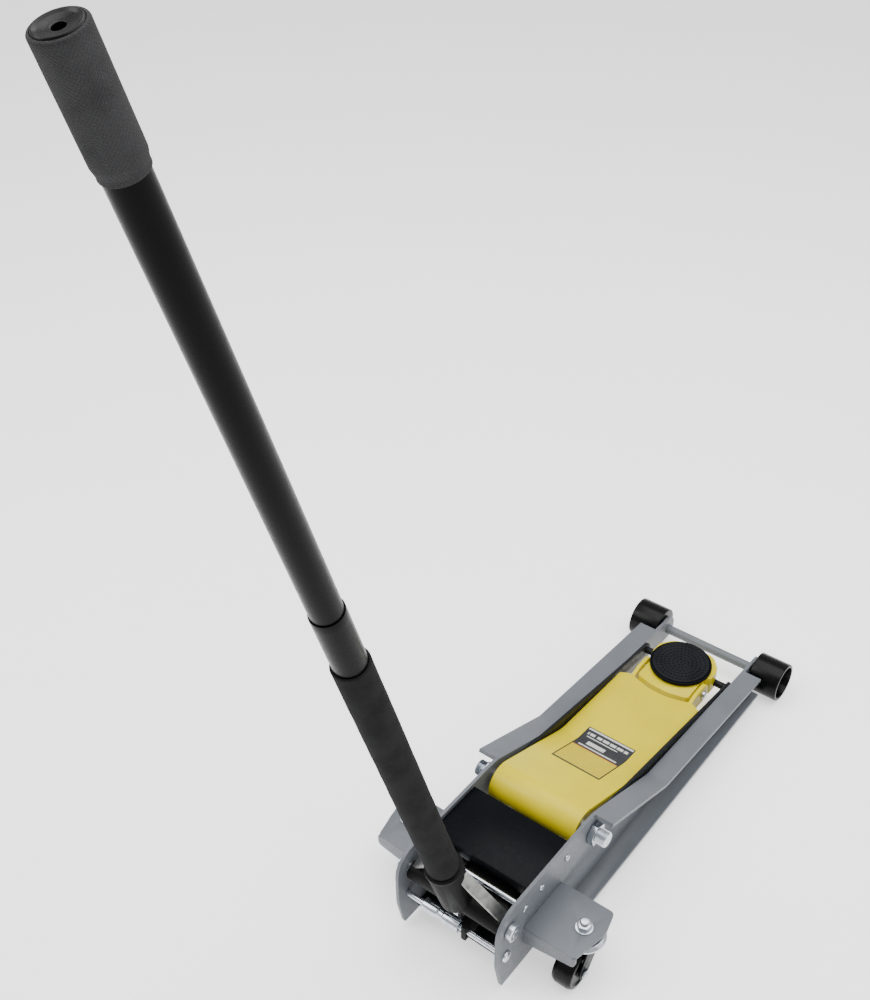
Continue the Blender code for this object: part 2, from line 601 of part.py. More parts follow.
def hydraulic_unit():
    """Pump block, cylinder, reservoir and ram under the black cover."""
    at = (0, 0, RAM_Z)
    block("pump_block", (BLOCK_REAR_X, -62, 26.4), (UNIT_REAR_X, 62, 112), "cast_black", 3)
    body = bpy.data.objects["pump_block"]
    lug = block("release_lug", (TIE_ROD[0] - 7, -25, 56), (BLOCK_REAR_X + 5, -17.5, 82), "cast_black")
    join(body, lug)
    cut(
        body,
        hole("tie_rod_bore", TIE_ROD_R + GAP, TIE_ROD, -30, -10),
        rod("plunger_bore", PLUNGER_R + GAP, BLOCK_REAR_X - 5, -140, "zinc", (0, 0, PLUNGER_Z), "X"),
        rod("filler_bore", 6 + GAP, 95, 120, "zinc", (-153, 30, 0)),
    )
    bore = TIE_ROD_R + GAP
    sleeve = [(bore, 50), (9.5, 50), (9.5, 24), (8, 22), (8, 18), (9.5, 16), (9.5, -12), (bore, -12)]
    turned("release_sleeve", sleeve, "zinc", (TIE_ROD[0], 0, TIE_ROD[1]), "Y")
    ring("cylinder_tube", CYLINDER_R, UNIT_REAR_X + GAP, UNIT_FRONT_X - 8, "bare_steel", at, "X")
    ring("reservoir_shell", RESERVOIR_R, UNIT_REAR_X + GAP, UNIT_FRONT_X - 8, "black_paint", at, "X")
    ring("cylinder_gland", (RAM_R + GAP, 38), UNIT_FRONT_X - 7.6, UNIT_FRONT_X, "cast_black", at, "X")
    turned(
        "ram",
        [(0, -43), (RAM_R, -43), (RAM_R, -120), (19.6, -120), (19.6, -132), (0, -132)],
        "chrome", at, "X",
    )
    pin_x = ARM_PIVOT[0] - (ARM_PIVOT[1] - RAM_Z) * math.tan(LEVER_SWING)
    low, high = (pin_x - 13.6, -24, RAM_Z - 14), (pin_x + 13, 24, RAM_Z + 14)
    head = block("ram_crosshead", low, high, "cast_black", 2)
    cut(head, hole("crosshead_bore", CROSSHEAD_PIN_R + GAP, (pin_x, RAM_Z), -40, 40))
    rod("crosshead_pin", CROSSHEAD_PIN_R, -39, 39, "zinc", (pin_x, 0, RAM_Z), "Y", SMALL_STEPS, 0.8)
    rod("pump_plunger", PLUNGER_R, PLUNGER_REAR_X, -160, "chrome", (0, 0, PLUNGER_Z), "X", SMALL_STEPS, 0.8)
    plug = [(0, 118), (9, 118), (9, 112.4), (6, 112.4), (6, 100), (0, 100)]
    turned("filler_plug", plug, "zinc", (-153, 30, 0), steps=SMALL_STEPS)
    pump_spring()


def pump_spring():
    """The spring that pushes the plunger back out, a coil round it."""
    turns, per_turn, radius = 4, 10, 9.6
    start, end = PLUNGER_REAR_X + 3.5, BLOCK_REAR_X - 1.6
    curve = bpy.data.curves.new("pump_spring", "CURVE")
    curve.dimensions = "3D"
    curve.bevel_depth = 1.1 * MM
    curve.bevel_resolution = 1
    curve.use_fill_caps = True
    spline = curve.splines.new("POLY")
    count = turns * per_turn
    spline.points.add(count)
    for k, point in enumerate(spline.points):
        turn = math.tau * k / per_turn
        x = start + (end - start) * k / count
        y = radius * math.cos(turn)
        z = PLUNGER_Z + radius * math.sin(turn)
        point.co = (x * MM, y * MM, z * MM, 1)
    place(bpy.data.objects.new("pump_spring", curve), "zinc")


def cover():
    """The bent sheet over the hydraulic unit, with its screws through the side plates."""
    sheet = 2.5
    front, rear, half = COVER_FRONT_X, COVER_REAR_X, COVER_HALF
    top = block("cover_plate", (rear, -half, COVER_TOP - sheet), (front, half, COVER_TOP), "black_paint")
    low, high = (rear + 0.1, -half + 0.2, 128), (rear + sheet, half - 0.2, COVER_TOP - 1)
    parts = [block("cover_lip", low, high, "black_paint")]
    for word, side in SIDES:
        span = mirrored(side, half - sheet, half - 0.1)
        low, high = (rear + 0.2, span[0], 118), (front - 0.1, span[1], COVER_TOP - 1)
        parts.append(block(f"cover_side_{word}", low, high, "black_paint"))
    join(top, *parts)
    for word, side in SIDES:
        for n, x in enumerate(COVER_SCREW_X):
            span = mirrored(side, half - 6, half + 3)
            cut(top, hole(f"cover_hole_{word}_{n}", 2.5 + GAP, (x, COVER_SCREW_Z), *span))
            seat = WEB_OUT + GAP
            screw = [(0, 89), (3.4, 89), (5, 87.4), (5, seat), (2.5, seat), (2.5, 74), (0, 74)]
            if side < 0:
                screw = [(radius, -y) for radius, y in screw][::-1]
            turned(f"cover_screw_{word}_{n + 1}", screw, "zinc", (x, 0, COVER_SCREW_Z), "Y", 12)


def handle_socket():
    """The cast socket that rocks between the side plates and drives the plunger."""
    bore, outer = SOCKET_R
    low, high = SOCKET_S
    profile = [(0, high), (outer - 1, high), (outer, high - 2), (outer - 1, 4), (0, 4)]
    socket = turned("handle_socket", profile, "cast_black", parent=HANDLE_AXIS)
    pieces = []
    reach = ROLLER_DROP + 7
    toe = [(-12, 8), (12, 8), (7.5, -reach, 7), (-7.5, -reach, 7)]
    toe_turn = HANDLE_LEAN + ROLLER_BACK
    for word, side in SIDES:
        span = mirrored(side, 12, 76)
        pieces.append(rod(f"trunnion_{word}", 14, *span, "cast_black", facing="Y", parent=HANDLE_AXIS))
        leg = flat(f"toe_{word}", toe, *mirrored(side, 11.5, 16.5), "cast_black", parent=HANDLE_AXIS)
        leg.data.transform(Matrix.Rotation(toe_turn, 4, "Y"))
        pieces.append(leg)
        strap = block(f"brace_{word}", (-1, 0, -2.5), (16, 92, 2.5), "cast_black", parent=HANDLE_AXIS)
        if side < 0:
            strap.data.transform(Matrix.Diagonal((1, -1, 1, 1)))
            strap.data.flip_normals()
        tilt = Matrix.Rotation(-side * math.radians(52), 4, "X")
        strap.data.transform(Matrix.Translation((0, side * 15 * MM, 84 * MM)) @ tilt)
        pieces.append(strap)
    join(socket, *pieces)
    cut(socket, rod("socket_bore", bore, low, high + 5, "zinc", parent=HANDLE_AXIS))
    at = (-ROLLER_DROP * math.sin(toe_turn), 0, -ROLLER_DROP * math.cos(toe_turn))
    cut(socket, rod("roller_bore", 3.5 + GAP, -30, 30, "zinc", at, "Y", parent=HANDLE_AXIS))
    for word, side in SIDES:
        span = mirrored(side, 56, 90)
        bore = HANDLE_BOLT_R + GAP
        cut(socket, rod(f"bolt_bore_{word}", bore, *span, "zinc", facing="Y", parent=HANDLE_AXIS))
        seat, shank = WEB_OUT + GAP, HANDLE_BOLT_R
        bolt = [(0, 96), (12, 96), (13, 95), (13, seat), (shank, seat), (shank, 58), (0, 58)]
        if side < 0:
            bolt = [(radius, -y) for radius, y in bolt][::-1]
        pivot = (HANDLE_PIVOT[0], 0, HANDLE_PIVOT[1])
        turned(f"handle_pivot_bolt_{word}", bolt, "zinc", pivot, "Y", SMALL_STEPS)
    roller = [(3.5, -17.5), (3.5, -10.8), (ROLLER_R, -10.8), (ROLLER_R, 10.8), (3.5, 10.8), (3.5, 17.5)]
    turned("pump_roller", [(0, 17.5), *roller[::-1], (0, -17.5)], "zinc", at, "Y", SMALL_STEPS, HANDLE_AXIS)


def handle():
    """The two-piece handle: it plugs into the socket and turns in it to open the release valve."""
    axis = HANDLE_AXIS
    lower = ring("lower_handle_tube", LOWER_TUBE_R, *LOWER_TUBE_S, "black_paint", parent=axis)
    upper = ring("upper_handle_tube", UPPER_TUBE_R, *UPPER_TUBE_S, "black_paint", parent=axis)
    for n, tube in enumerate((lower, upper)):
        cutter = rod(f"button_hole_{n}", BUTTON_R + GAP, 5, 30, "zinc", (0, 0, BUTTON_S), "Y", parent=axis)
        cut(tube, cutter)
    inner, outer = FOAM_R
    low, high = FOAM_S
    foam = [
        (inner, high), (outer - 1.2, high), (outer, high - 1.5),
        (outer, low + 1.5), (outer - 1.2, low), (inner, low),
    ]
    turned("foam_sleeve", foam, "foam", parent=axis)
    inner, outer = GRIP_R
    low, high = GRIP_S
    grip = [
        (inner, high), (outer - 1.5, high), (outer, high - 2.5), (outer, low + 11), (outer - 1.6, low + 5),
        (outer - 1.8, low), (inner, low),
    ]
    turned("hand_grip", grip, "foam", parent=axis)
    seat = UPPER_TUBE_S[1]
    cap = [
        (5, HANDLE_END_S - 3), (13, HANDLE_END_S - 1.6), (16.4, HANDLE_END_S), (17.6, HANDLE_END_S - 1),
        (17.6, seat + GAP), (15.2, seat + GAP), (15.2, seat - 22), (12.5, seat - 22),
        (12.5, seat - 2), (5, seat - 2),
    ]
    turned("handle_end_cap", cap, "nylon", parent=axis)
    rod("snap_button", BUTTON_R, 12, 23, "zinc", (0, 0, BUTTON_S), "Y", SMALL_STEPS, 1.2, parent=axis)


side_plates()
front_end()
casters()
cross_members()
arm_shaft()
lift_arm()
saddle()
radius_rods()
hydraulic_unit()
cover()
handle_socket()
handle()
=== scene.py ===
# Low-profile trolley jack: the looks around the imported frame, in metres, +Z up.
import bmesh
import bpy
import json
from math import acos, atan2, ceil, cos, pi, radians, sin
from mathutils import Matrix, Vector, noise
from mathutils.bvhtree import BVHTree


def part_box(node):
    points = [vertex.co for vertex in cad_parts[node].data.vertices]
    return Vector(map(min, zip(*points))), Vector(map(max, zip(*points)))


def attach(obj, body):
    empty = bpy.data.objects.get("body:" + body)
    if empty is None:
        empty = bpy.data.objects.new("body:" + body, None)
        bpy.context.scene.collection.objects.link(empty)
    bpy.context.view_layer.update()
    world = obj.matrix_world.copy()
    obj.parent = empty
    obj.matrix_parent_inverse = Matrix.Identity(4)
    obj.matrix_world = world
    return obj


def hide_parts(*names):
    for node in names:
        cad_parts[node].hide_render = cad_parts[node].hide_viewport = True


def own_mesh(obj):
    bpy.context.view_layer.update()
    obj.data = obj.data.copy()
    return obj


mm = 0.001
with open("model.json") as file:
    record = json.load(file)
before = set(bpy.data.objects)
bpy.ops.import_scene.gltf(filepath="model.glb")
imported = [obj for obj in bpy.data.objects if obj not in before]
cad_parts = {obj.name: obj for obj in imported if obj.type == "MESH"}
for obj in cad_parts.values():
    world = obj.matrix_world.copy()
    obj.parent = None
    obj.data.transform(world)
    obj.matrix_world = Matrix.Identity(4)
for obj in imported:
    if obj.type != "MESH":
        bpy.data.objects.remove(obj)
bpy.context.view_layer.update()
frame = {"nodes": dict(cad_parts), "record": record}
joints = {joint["name"]: joint for joint in frame["record"]["behaviour"]["joints"]}
bodyOf = {node: body for body, nodes in frame["record"]["behaviour"]["bodies"].items() for node in nodes}
print("frame loaded:", len(bodyOf), "nodes")


def jointAt(name):
    return Vector(joints[name]["pos_m"])


handlePivot = jointAt("handle_pump")
handleAxis = Vector(joints["handle_twist"]["axis"])
handleFrame = Matrix.Translation(handlePivot) @ Matrix.Rotation(-acos(handleAxis.z), 4, "Y")
alongY = Matrix.Rotation(radians(-90), 4, "X")  # turns a spun shape's own Z to +Y
facingOut = {1: alongY, -1: Matrix.Rotation(radians(90), 4, "X")}  # own Z to that side's outside
sides = (("left", 1), ("right", -1))


# colours and shading values are one dictionary a finish
def linear(code):
    parts = [int(code[i:i + 2], 16) / 255 for i in (0, 2, 4)]
    return [c / 12.92 if c <= 0.04045 else ((c + 0.055) / 1.055) ** 2.4 for c in parts] + [1.0]


def addNode(tree, kind, links=(), inputs=None, stops=(), **settings):
    node = tree.nodes.new("ShaderNode" + kind)
    for key, value in settings.items():
        setattr(node, key, value)
    for key, value in (inputs or {}).items():
        node.inputs[key].default_value = value
    for k, (place, colour) in enumerate(stops):
        band = node.color_ramp.elements
        mark = band[k] if k < len(band) else band.new(place)
        mark.position = place
        mark.color = colour if isinstance(colour, list) else [colour, colour, colour, 1.0]
    for source, target in links:
        tree.links.new(source, node.inputs[target])
    return node


def newMaterial(name, **values):
    material = bpy.data.materials.new(name)
    material.use_nodes = True
    tree = material.node_tree
    shader = tree.nodes["Principled BSDF"]
    for key, value in values.items():
        shader.inputs[key.replace("_", " ")].default_value = value
    return material, tree, shader


enamelFinishes = {
    # sprayed satin enamel on pressed steel: even grey, faint orange peel, dull dusty patches, fine scuffs
    "greyEnamel": dict(
        base="62666C", dark="5D6166", scuff="7A7E83",
        rough=(0.36, 0.52), gloss=0.35, peel=1.3, worn=0.66,
    ),
    # gloss enamel: a clean yellow with a soft highlight along each bend
    "yellowEnamel": dict(
        base="D2C000", dark="CCBA00", scuff="DACB2A",
        rough=(0.26, 0.4), gloss=0.22, peel=1.5, worn=0.72,
    ),
    # baked black on sheet: cool black, its gloss broken by finger marks and dust
    "blackEnamel": dict(
        base="05070B", dark="030508", scuff="0E1116",
        rough=(0.26, 0.44), gloss=0.07, peel=1.2, worn=0.68,
    ),
    # black on drawn tube: neutral, smoother and deeper than on sheet
    "tubeEnamel": dict(
        base="030303", dark="020202", scuff="0A0A0A",
        rough=(0.22, 0.36), gloss=0.06, peel=1.0, worn=0.7,
    ),
    # thin black over bar stock: greyer, rubbed at the edges where it slides
    "rodEnamel": dict(
        base="16181B", dark="0F1012", scuff="303338",
        rough=(0.4, 0.58), gloss=0.15, peel=1.0, worn=0.62,
    ),
}


def enamel(name):
    look = enamelFinishes[name]
    material, tree, shader = newMaterial(name, IOR=1.5, Specular_IOR_Level=look["gloss"])
    coords = addNode(tree, "TexCoord").outputs["Object"]
    drawn = addNode(tree, "Mapping", [(coords, "Vector")], {"Scale": (1, 0.25, 1)})
    # clouds 55 mm across, mottle 6 mm, scratches 4 by 16 mm, orange peel from the finish
    cloud = addNode(tree, "TexNoise", [(coords, "Vector")], {"Scale": 18.0, "Detail": 4.0})
    mottle = addNode(tree, "TexNoise", [(coords, "Vector")], {"Scale": 167.0, "Detail": 5.0, "Roughness": 0.6})
    scratch = addNode(
        tree, "TexNoise", [(drawn.outputs[0], "Vector")], {"Scale": 250.0, "Detail": 8.0, "Roughness": 0.75}
    )
    peel = addNode(tree, "TexNoise", [(coords, "Vector")], {"Scale": 1 / (look["peel"] * mm), "Detail": 2.0})
    shade = [(0.35, linear(look["dark"])), (0.62, linear(look["base"]))]
    colour = addNode(tree, "ValToRGB", [(cloud.outputs["Fac"], "Fac")], stops=shade)
    edge = [(look["worn"], 0.0), (look["worn"] + 0.07, 1.0)]
    worn = addNode(tree, "ValToRGB", [(scratch.outputs["Fac"], "Fac")], stops=edge)
    patchy = addNode(tree, "Math", [(worn.outputs["Color"], 0), (mottle.outputs["Fac"], 1)], operation="MULTIPLY")
    mixed = addNode(
        tree, "Mix", [(patchy.outputs[0], "Factor"), (colour.outputs["Color"], 6)], {7: linear(look["scuff"])},
        data_type="RGBA",
    )
    low, high = look["rough"]
    dull = addNode(tree, "ValToRGB", [(mottle.outputs["Fac"], "Fac")], stops=[(0.3, low), (0.7, high)])
    skin = addNode(tree, "Bump", [(peel.outputs["Fac"], "Height")], {"Distance": 0.05 * mm, "Strength": 0.5})
    tree.links.new(mixed.outputs[2], shader.inputs["Base Color"])
    tree.links.new(dull.outputs["Color"], shader.inputs["Roughness"])
    tree.links.new(skin.outputs["Normal"], shader.inputs["Normal"])
    return material


metalFinishes = {
    # electroplated zinc on turned steel: bluish silver, faintly cloudy
    "zincPlate": dict(base="C6CBD2", dark="B2B8BF", rough=(0.2, 0.27), size=5.0, stretch=(1, 1, 1)),
    # hard chrome on a ground rod: bright and clear, only a haze of oil
    "hardChrome": dict(base="D9DBDE", dark="C6C9CC", rough=(0.05, 0.14), size=12.0, stretch=(1, 1, 1)),
    # cold-rolled steel strap: grey with a drawn grain along its length
    "rolledSteel": dict(base="A9A9A6", dark="8A8A88", rough=(0.32, 0.5), size=1.6, stretch=(1, 0.12, 1)),
}


def metal(name):
    look = metalFinishes[name]
    material, tree, shader = newMaterial(name, Metallic=1.0)
    coords = addNode(tree, "TexCoord").outputs["Object"]
    drawn = addNode(tree, "Mapping", [(coords, "Vector")], {"Scale": look["stretch"]})
    # clouds 9 mm across, and the grain that dulls the polish
    cloud = addNode(tree, "TexNoise", [(coords, "Vector")], {"Scale": 110.0, "Detail": 4.0})
    lines = addNode(
        tree, "TexNoise", [(drawn.outputs[0], "Vector")],
        {"Scale": 1 / (look["size"] * mm), "Detail": 6.0, "Roughness": 0.65},
    )
    shade = [(0.32, linear(look["dark"])), (0.6, linear(look["base"]))]
    colour = addNode(tree, "ValToRGB", [(cloud.outputs["Fac"], "Fac")], stops=shade)
    low, high = look["rough"]
    dull = addNode(tree, "ValToRGB", [(lines.outputs["Fac"], "Fac")], stops=[(0.3, low), (0.72, high)])
    skin = addNode(tree, "Bump", [(lines.outputs["Fac"], "Height")], {"Distance": 0.01 * mm, "Strength": 0.12})
    tree.links.new(colour.outputs["Color"], shader.inputs["Base Color"])
    tree.links.new(dull.outputs["Color"], shader.inputs["Roughness"])
    tree.links.new(skin.outputs["Normal"], shader.inputs["Normal"])
    return material


matteFinishes = {
    # sand-cast iron under thin black paint: coarse grainy skin, a little greyer on the high spots
    "castIron": dict(
        base="0C0C0D", dark="070708", high="1A1A1C",
        rough=(0.45, 0.68), gloss=0.12, size=1.6, depth=0.2,
    ),
    # injection-moulded nylon: deep glossy black, very fine ripple
    "mouldedNylon": dict(
        base="040405", dark="030303", high="09090A",
        rough=(0.2, 0.34), gloss=0.14, size=3.0, depth=0.03,
    ),
    # moulded rubber: charcoal, with a dry bloom in the hollows
    "mouldedRubber": dict(
        base="14161A", dark="0D0E11", high="202328",
        rough=(0.6, 0.82), gloss=0.15, size=0.9, depth=0.06,
    ),
    # closed-cell foam with a skin: soft matt grey-black, open pores drawn coarse enough to show
    "foamSkin": dict(
        base="1E1E1F", dark="171718", high="2A2A2C",
        rough=(0.85, 0.97), gloss=0.08, size=1.1, depth=0.25,
    ),
    # the same foam pressed in a knurled mould: lighter and tighter
    "gripFoam": dict(
        base="333334", dark="2A2A2B", high="424244",
        rough=(0.8, 0.94), gloss=0.12, size=1.1, depth=0.1,
    ),
}


def matte(name):
    look = matteFinishes[name]
    material, tree, shader = newMaterial(name, IOR=1.48, Specular_IOR_Level=look["gloss"])
    coords = addNode(tree, "TexCoord").outputs["Object"]
    # clouds 30 mm across, pits from the finish
    cloud = addNode(tree, "TexNoise", [(coords, "Vector")], {"Scale": 33.0, "Detail": 4.0})
    pits = addNode(
        tree, "TexNoise", [(coords, "Vector")], {"Scale": 1 / (look["size"] * mm), "Detail": 4.0, "Roughness": 0.6}
    )
    shade = [(0.34, linear(look["dark"])), (0.56, linear(look["base"]))]
    colour = addNode(tree, "ValToRGB", [(cloud.outputs["Fac"], "Fac")], stops=shade)
    worn = addNode(tree, "ValToRGB", [(pits.outputs["Fac"], "Fac")], stops=[(0.56, 0.0), (0.74, 1.0)])
    mixed = addNode(
        tree, "Mix", [(worn.outputs["Color"], "Factor"), (colour.outputs["Color"], 6)], {7: linear(look["high"])},
        data_type="RGBA",
    )
    low, high = look["rough"]
    dull = addNode(tree, "ValToRGB", [(pits.outputs["Fac"], "Fac")], stops=[(0.3, low), (0.7, high)])
    skin = addNode(tree, "Bump", [(pits.outputs["Fac"], "Height")], {"Distance": look["depth"] * mm, "Strength": 0.7})
    tree.links.new(mixed.outputs[2], shader.inputs["Base Color"])
    tree.links.new(dull.outputs["Color"], shader.inputs["Roughness"])
    tree.links.new(skin.outputs["Normal"], shader.inputs["Normal"])
    return material, tree, shader


knurl = dict(pitch=2.4, lean=45, depth=0.35)


def knurled(name):
    # the grip's moulded diamond pattern round and along it, read from the piece's own map
    material, tree, shader = matte(name)
    wrap = addNode(tree, "UVMap", uv_map="wrap").outputs["UV"]
    heights = []
    for lean in (knurl["lean"], -knurl["lean"]):
        turn = addNode(tree, "Mapping", [(wrap, "Vector")], {"Rotation": (0, 0, radians(lean))})
        size = {"Scale": pi / (10 * knurl["pitch"] * mm)}
        wave = addNode(tree, "TexWave", [(turn.outputs[0], "Vector")], size, bands_direction="X")
        heights.append(wave.outputs["Fac"])
    cross = addNode(tree, "Math", [(heights[0], 0), (heights[1], 1)], operation="MAXIMUM")
    relief = {"Distance": knurl["depth"] * mm, "Strength": 0.9}
    skin = addNode(tree, "Bump", [(cross.outputs[0], "Height")], relief)
    tree.links.new(skin.outputs["Normal"], shader.inputs["Normal"])
    return material


inkFinishes = {
    # screen-printed vinyl: each ink slightly faded under a satin film
    "dark": dict(base="26272A", rough=0.4),
    "light": dict(base="B9BAB7", rough=0.4),
    "pale": dict(base="B7A410", rough=0.35),
    "red": dict(base="8A3418", rough=0.4),
}


def printedInk(name):
    look = inkFinishes[name]
    material, tree, shader = newMaterial("ink" + name.title(), Specular_IOR_Level=0.3)
    coords = addNode(tree, "TexCoord").outputs["Object"]
    cloud = addNode(tree, "TexNoise", [(coords, "Vector")], {"Scale": 71.0, "Detail": 5.0, "Roughness": 0.6})
    film = addNode(tree, "TexNoise", [(coords, "Vector")], {"Scale": 333.0, "Detail": 3.0})
    base = linear(look["base"])
    faded = [min(1.0, c * 1.12 + 0.006) for c in base[:3]] + [1.0]
    colour = addNode(tree, "ValToRGB", [(cloud.outputs["Fac"], "Fac")], stops=[(0.35, base), (0.7, faded)])
    gloss = [(0.3, look["rough"]), (0.7, look["rough"] + 0.15)]
    dull = addNode(tree, "ValToRGB", [(film.outputs["Fac"], "Fac")], stops=gloss)
    skin = addNode(tree, "Bump", [(film.outputs["Fac"], "Height")], {"Distance": 0.02 * mm, "Strength": 0.4})
    tree.links.new(colour.outputs["Color"], shader.inputs["Base Color"])
    tree.links.new(dull.outputs["Color"], shader.inputs["Roughness"])
    tree.links.new(skin.outputs["Normal"], shader.inputs["Normal"])
    return material


greyEnamel, yellowEnamel, blackEnamel, tubeEnamel, rodEnamel = (enamel(name) for name in enamelFinishes)
zincPlate, hardChrome, rolledSteel = (metal(name) for name in metalFinishes)
castIron, mouldedNylon, mouldedRubber, foamSkin = (matte(name)[0] for name in list(matteFinishes)[:4])
gripFoam = knurled("gripFoam")
inks = {name: printedInk(name) for name in inkFinishes}
print("materials made:", len(bpy.data.materials))


def finishPiece(shape, name, material, body, nodes=(), sharp=32):
    bmesh.ops.remove_doubles(shape, verts=shape.verts, dist=0.01 * mm)
    bmesh.ops.recalc_face_normals(shape, faces=shape.faces)
    mesh = bpy.data.meshes.new(name)
    shape.to_mesh(mesh)
    shape.free()
    mesh.materials.append(material)
    mesh.shade_smooth()
    mesh.set_sharp_from_angle(angle=radians(sharp))
    piece = bpy.data.objects.new(name, mesh)
    bpy.context.scene.collection.objects.link(piece)
    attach(piece, body)
    if nodes:
        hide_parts(*nodes)
    return piece


def forNode(shape, node, material, sharp=32):
    return finishPiece(shape, node + "Look", material, bodyOf[node], (node,), sharp)


def rounded(corners, steps=4):
    # a closed outline from (radius, height) corners, a third value rounding the corner
    points = []
    for i, corner in enumerate(corners):
        here = Vector(corner[:2])
        size = corner[2] if len(corner) > 2 else 0
        if not size:
            points.append(here)
            continue
        before = (Vector(corners[i - 1][:2]) - here).normalized()
        after = (Vector(corners[(i + 1) % len(corners)][:2]) - here).normalized()
        half = before.angle(after) / 2
        centre = here + (before + after).normalized() * (size / sin(half))
        start = here + before * (size * cos(half) / sin(half)) - centre
        end = here + after * (size * cos(half) / sin(half)) - centre
        turn = start.angle_signed(end)
        points += [centre + Matrix.Rotation(-turn * k / steps, 2) @ start for k in range(steps + 1)]
    return points


def spun(corners, place, steps=72, wobble=0.0, fine=0):
    # a turned shape from its half section in mm, with a map that wraps round it in metres
    shape = bmesh.new()
    points = rounded(corners)
    if fine:
        split = []
        for a, b in zip(points, points[1:] + points[:1]):
            count = max(1, ceil((b - a).length / fine))
            split += [a.lerp(b, k / count) for k in range(count)]
        points = split
    closed = all(point.x > 0.001 for point in points)
    verts = [shape.verts.new((point.x * mm, 0, point.y * mm)) for point in points]
    pairs = list(zip(verts, verts[1:])) + ([(verts[-1], verts[0])] if closed else [])
    edges = [shape.edges.new(pair) for pair in pairs]
    bmesh.ops.spin(
        shape, geom=verts + edges, cent=(0, 0, 0), axis=(0, 0, 1), angle=2 * pi, steps=steps, use_merge=True
    )
    bmesh.ops.remove_doubles(shape, verts=shape.verts, dist=0.01 * mm)
    if wobble:
        for vert in shape.verts:
            push = noise.noise(vert.co * 38) * wobble * mm
            vert.co += Vector((vert.co.x, vert.co.y, 0)).normalized() * push
    wrap = shape.loops.layers.uv.new("wrap")
    for face in shape.faces:
        middle = face.calc_center_median()
        facing = atan2(middle.y, middle.x)
        for loop in face.loops:
            turned = atan2(loop.vert.co.y, loop.vert.co.x) - facing
            turned = (turned + pi) % (2 * pi) - pi
            radius = Vector(loop.vert.co[:2]).length
            loop[wrap].uv = ((facing + turned) * radius, loop.vert.co.z)
    shape.transform(place)
    return shape


def softened(node, material, width):
    # the frame's own shape with its pressed or cast edges rounded
    shape = bmesh.new()
    shape.from_mesh(frame["nodes"][node].data)
    shape.transform(frame["nodes"][node].matrix_world)
    bmesh.ops.remove_doubles(shape, verts=shape.verts, dist=0.01 * mm)
    bmesh.ops.dissolve_limit(shape, angle_limit=radians(0.6), verts=shape.verts, edges=shape.edges)
    edges = [
        edge for edge in shape.edges
        if len(edge.link_faces) == 2 and edge.calc_face_angle(0) > radians(30) and edge.calc_length() > 0.3 * mm
    ]
    bmesh.ops.bevel(
        shape, geom=edges, offset=width * mm, offset_type="OFFSET", segments=2, profile=0.5,
        affect="EDGES", material=-1, clamp_overlap=True,
    )
    return forNode(shape, node, material, 40)


def sized(node, axis):
    # how far a node reaches along an axis, in mm
    low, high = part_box(node)
    return low[axis] / mm, high[axis] / mm


def at(vector):
    return Matrix.Translation((vector.x, 0, vector.z))


edgeWidths = {
    "side_plate_left": (greyEnamel, 1.1), "side_plate_right": (greyEnamel, 1.1),
    "caster_bracket_left": (greyEnamel, 1.2), "caster_bracket_right": (greyEnamel, 1.2),
    "lift_arm": (yellowEnamel, 0.9), "saddle_yoke": (yellowEnamel, 2.2), "cover_plate": (blackEnamel, 0.8),
    "handle_socket": (castIron, 0.8), "pump_block": (castIron, 1.0), "ram_crosshead": (castIron, 0.8),
    "caster_fork_left": (blackEnamel, 0.5), "caster_fork_right": (blackEnamel, 0.5),
    "radius_rod_left": (rodEnamel, 0.7), "radius_rod_right": (rodEnamel, 0.7),
    "unit_base_plate": (blackEnamel, 0.8),
}
for node, (material, width) in edgeWidths.items():
    softened(node, material, width)
print("pressed and cast parts rounded:", len(edgeWidths))


frontWheel = dict(bore=8.3, rim=1.8, lip=1.2, wall=5.0, hubWall=6.5, hubLength=23.0, steps=96)
casterWheel = dict(tread=6.5, steps=80)


def frontWheelLook(word, side):
    node = f"front_wheel_{word}"
    low, high = sized(node, 1)
    radius = (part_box(node)[1][2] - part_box(node)[0][2]) / mm / 2
    centre = jointAt(f"front_wheel_{word}_roll")
    inner, outer = (low, high) if side > 0 else (-high, -low)
    look = frontWheel
    bore = look["bore"]
    section = [
        (bore, inner), (bore, inner + look["hubLength"]), (bore + look["hubWall"], inner + look["hubLength"], 1),
        (bore + look["hubWall"], outer - 27, 2), (radius - look["wall"] - 2.5, outer - 25, 2),
        (radius - look["wall"], outer, look["lip"]), (radius, outer, look["rim"]),
        (radius, inner, look["rim"]), (bore + 9, inner, 1), (bore + 8, inner + 0.39), (bore + 4, inner + 0.4),
    ]
    shape = spun(section, at(centre) @ facingOut[side], look["steps"])
    forNode(shape, node, mouldedNylon)


def casterWheelLook(word, side):
    node = f"caster_wheel_{word}"
    low, high = sized(node, 1)
    radius = (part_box(node)[1][2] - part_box(node)[0][2]) / mm / 2
    centre = jointAt(f"caster_{word}_roll")
    middle, half, look = (low + high) / 2, (high - low) / 2, casterWheel
    section = [
        (4.3, half), (9, half, 0.8), (10, half - 2.5, 1), (radius - 9, half - 2.5, 1), (radius - 8, half - 0.6, 0.6),
        (radius - 2.5, half - 1, 2), (radius, half - look["tread"], 2.5), (radius, -half + look["tread"], 2.5),
        (radius - 2.5, -half + 1, 2), (radius - 8, -half + 0.6, 0.6), (radius - 9, -half + 2.5, 1),
        (10, -half + 2.5, 1), (9, -half, 0.8), (4.3, -half),
    ]
    shape = spun(section, Matrix.Translation((centre.x, middle * mm, centre.z)) @ alongY, look["steps"])
    forNode(shape, node, mouldedNylon)


for word, side in sides:
    frontWheelLook(word, side)
    casterWheelLook(word, side)
print("wheels made")


